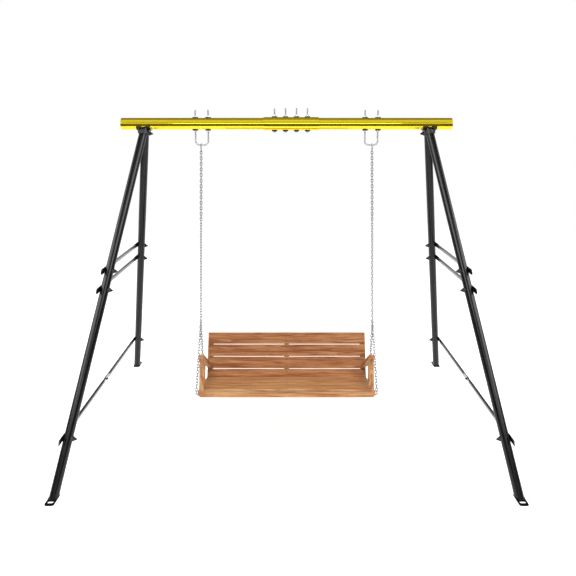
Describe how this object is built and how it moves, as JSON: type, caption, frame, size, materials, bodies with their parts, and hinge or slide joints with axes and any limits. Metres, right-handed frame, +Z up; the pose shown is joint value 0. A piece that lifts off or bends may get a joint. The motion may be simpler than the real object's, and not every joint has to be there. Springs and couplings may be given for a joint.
{
  "type": "porch swing with stand",
  "caption": "Slatted timber bench seat hung on steel chains from a yellow tubular beam on a splayed black steel A-frame stand.",
  "frame": {"origin": "on the ground, under the middle of the top beam", "axes": "+X along the top beam to the sitter's left, +Y behind the bench back, +Z up; the bench faces -Y"},
  "size_m": [2.526, 1.86, 2.076],
  "materials": {
    "yellow_paint": "gloss powder coat",
    "black_paint": "gloss powder coat",
    "black_plastic": "moulded, satin",
    "black_fastener": "black coated steel",
    "zinc_plated_steel": "bright zinc plate",
    "chain_steel": "zinc plate",
    "dark_screw": "brown coated steel",
    "seat_wood": "oiled hardwood",
    "back_wood": "oiled hardwood"
  },
  "bodies": {
    "stand": {"beam_end_plugs": "black_plastic", "beam_left": "yellow_paint", "beam_right": "yellow_paint", "beam_saddle_washers": "black_plastic", "beam_sleeve": "yellow_paint", "bracket_screws": "zinc_plated_steel", "foot_plates": "black_paint", "frame_bolts": "black_fastener", "frame_cap_nuts": "black_fastener", "frame_spacers": "black_plastic", "leg_bracket_left": "black_paint", "leg_bracket_right": "black_paint", "leg_collars": "black_plastic", "leg_front_left": "black_paint", "leg_front_right": "black_paint", "leg_rear_left": "black_paint", "leg_rear_right": "black_paint", "lower_bar_front_left": "black_paint", "lower_bar_front_right": "black_paint", "lower_bar_rear_left": "black_paint", "lower_bar_rear_right": "black_paint", "middle_bar_left": "black_paint", "middle_bar_right": "black_paint", "sleeve_bolts": "zinc_plated_steel", "sleeve_nuts": "zinc_plated_steel", "ubolt_left": "zinc_plated_steel", "ubolt_nuts": "zinc_plated_steel", "ubolt_right": "zinc_plated_steel", "upper_bar_left": "black_paint", "upper_bar_right": "black_paint"},
    "hanger_chains": {"quick_link_nuts": "zinc_plated_steel", "quick_links": "zinc_plated_steel", "upper_chain_left": "chain_steel", "upper_chain_right": "chain_steel"},
    "bench": {"arm_brackets": "zinc_plated_steel", "arm_left": "seat_wood", "arm_post_left": "seat_wood", "arm_post_right": "seat_wood", "arm_right": "seat_wood", "back_slat_1": "back_wood", "back_slat_2": "back_wood", "back_slat_3": "back_wood", "back_slat_4": "back_wood", "back_uprights": "back_wood", "bridle_chain_front_left": "chain_steel", "bridle_chain_front_right": "chain_steel", "bridle_chain_rear_left": "chain_steel", "bridle_chain_rear_right": "chain_steel", "bridle_rings": "zinc_plated_steel", "eye_screws": "zinc_plated_steel", "front_rail": "seat_wood", "rear_rail": "seat_wood", "seat_slat_1": "seat_wood", "seat_slat_2": "seat_wood", "seat_slat_3": "seat_wood", "seat_slat_4": "seat_wood", "seat_slat_5": "seat_wood", "seat_supports": "seat_wood", "wood_screws": "dark_screw"}
  },
  "joints": [
    {"name": "swing", "type": "hinge", "parent": "stand", "child": "hanger_chains", "pos_m": [0, 0, 1.843], "axis": [1, 0, 0], "range_deg": [-35, 35]},
    {"name": "bench_rock", "type": "hinge", "parent": "hanger_chains", "child": "bench", "pos_m": [0, 0, 0.69388], "axis": [1, 0, 0], "range_deg": [-15, 15]}
  ]
}
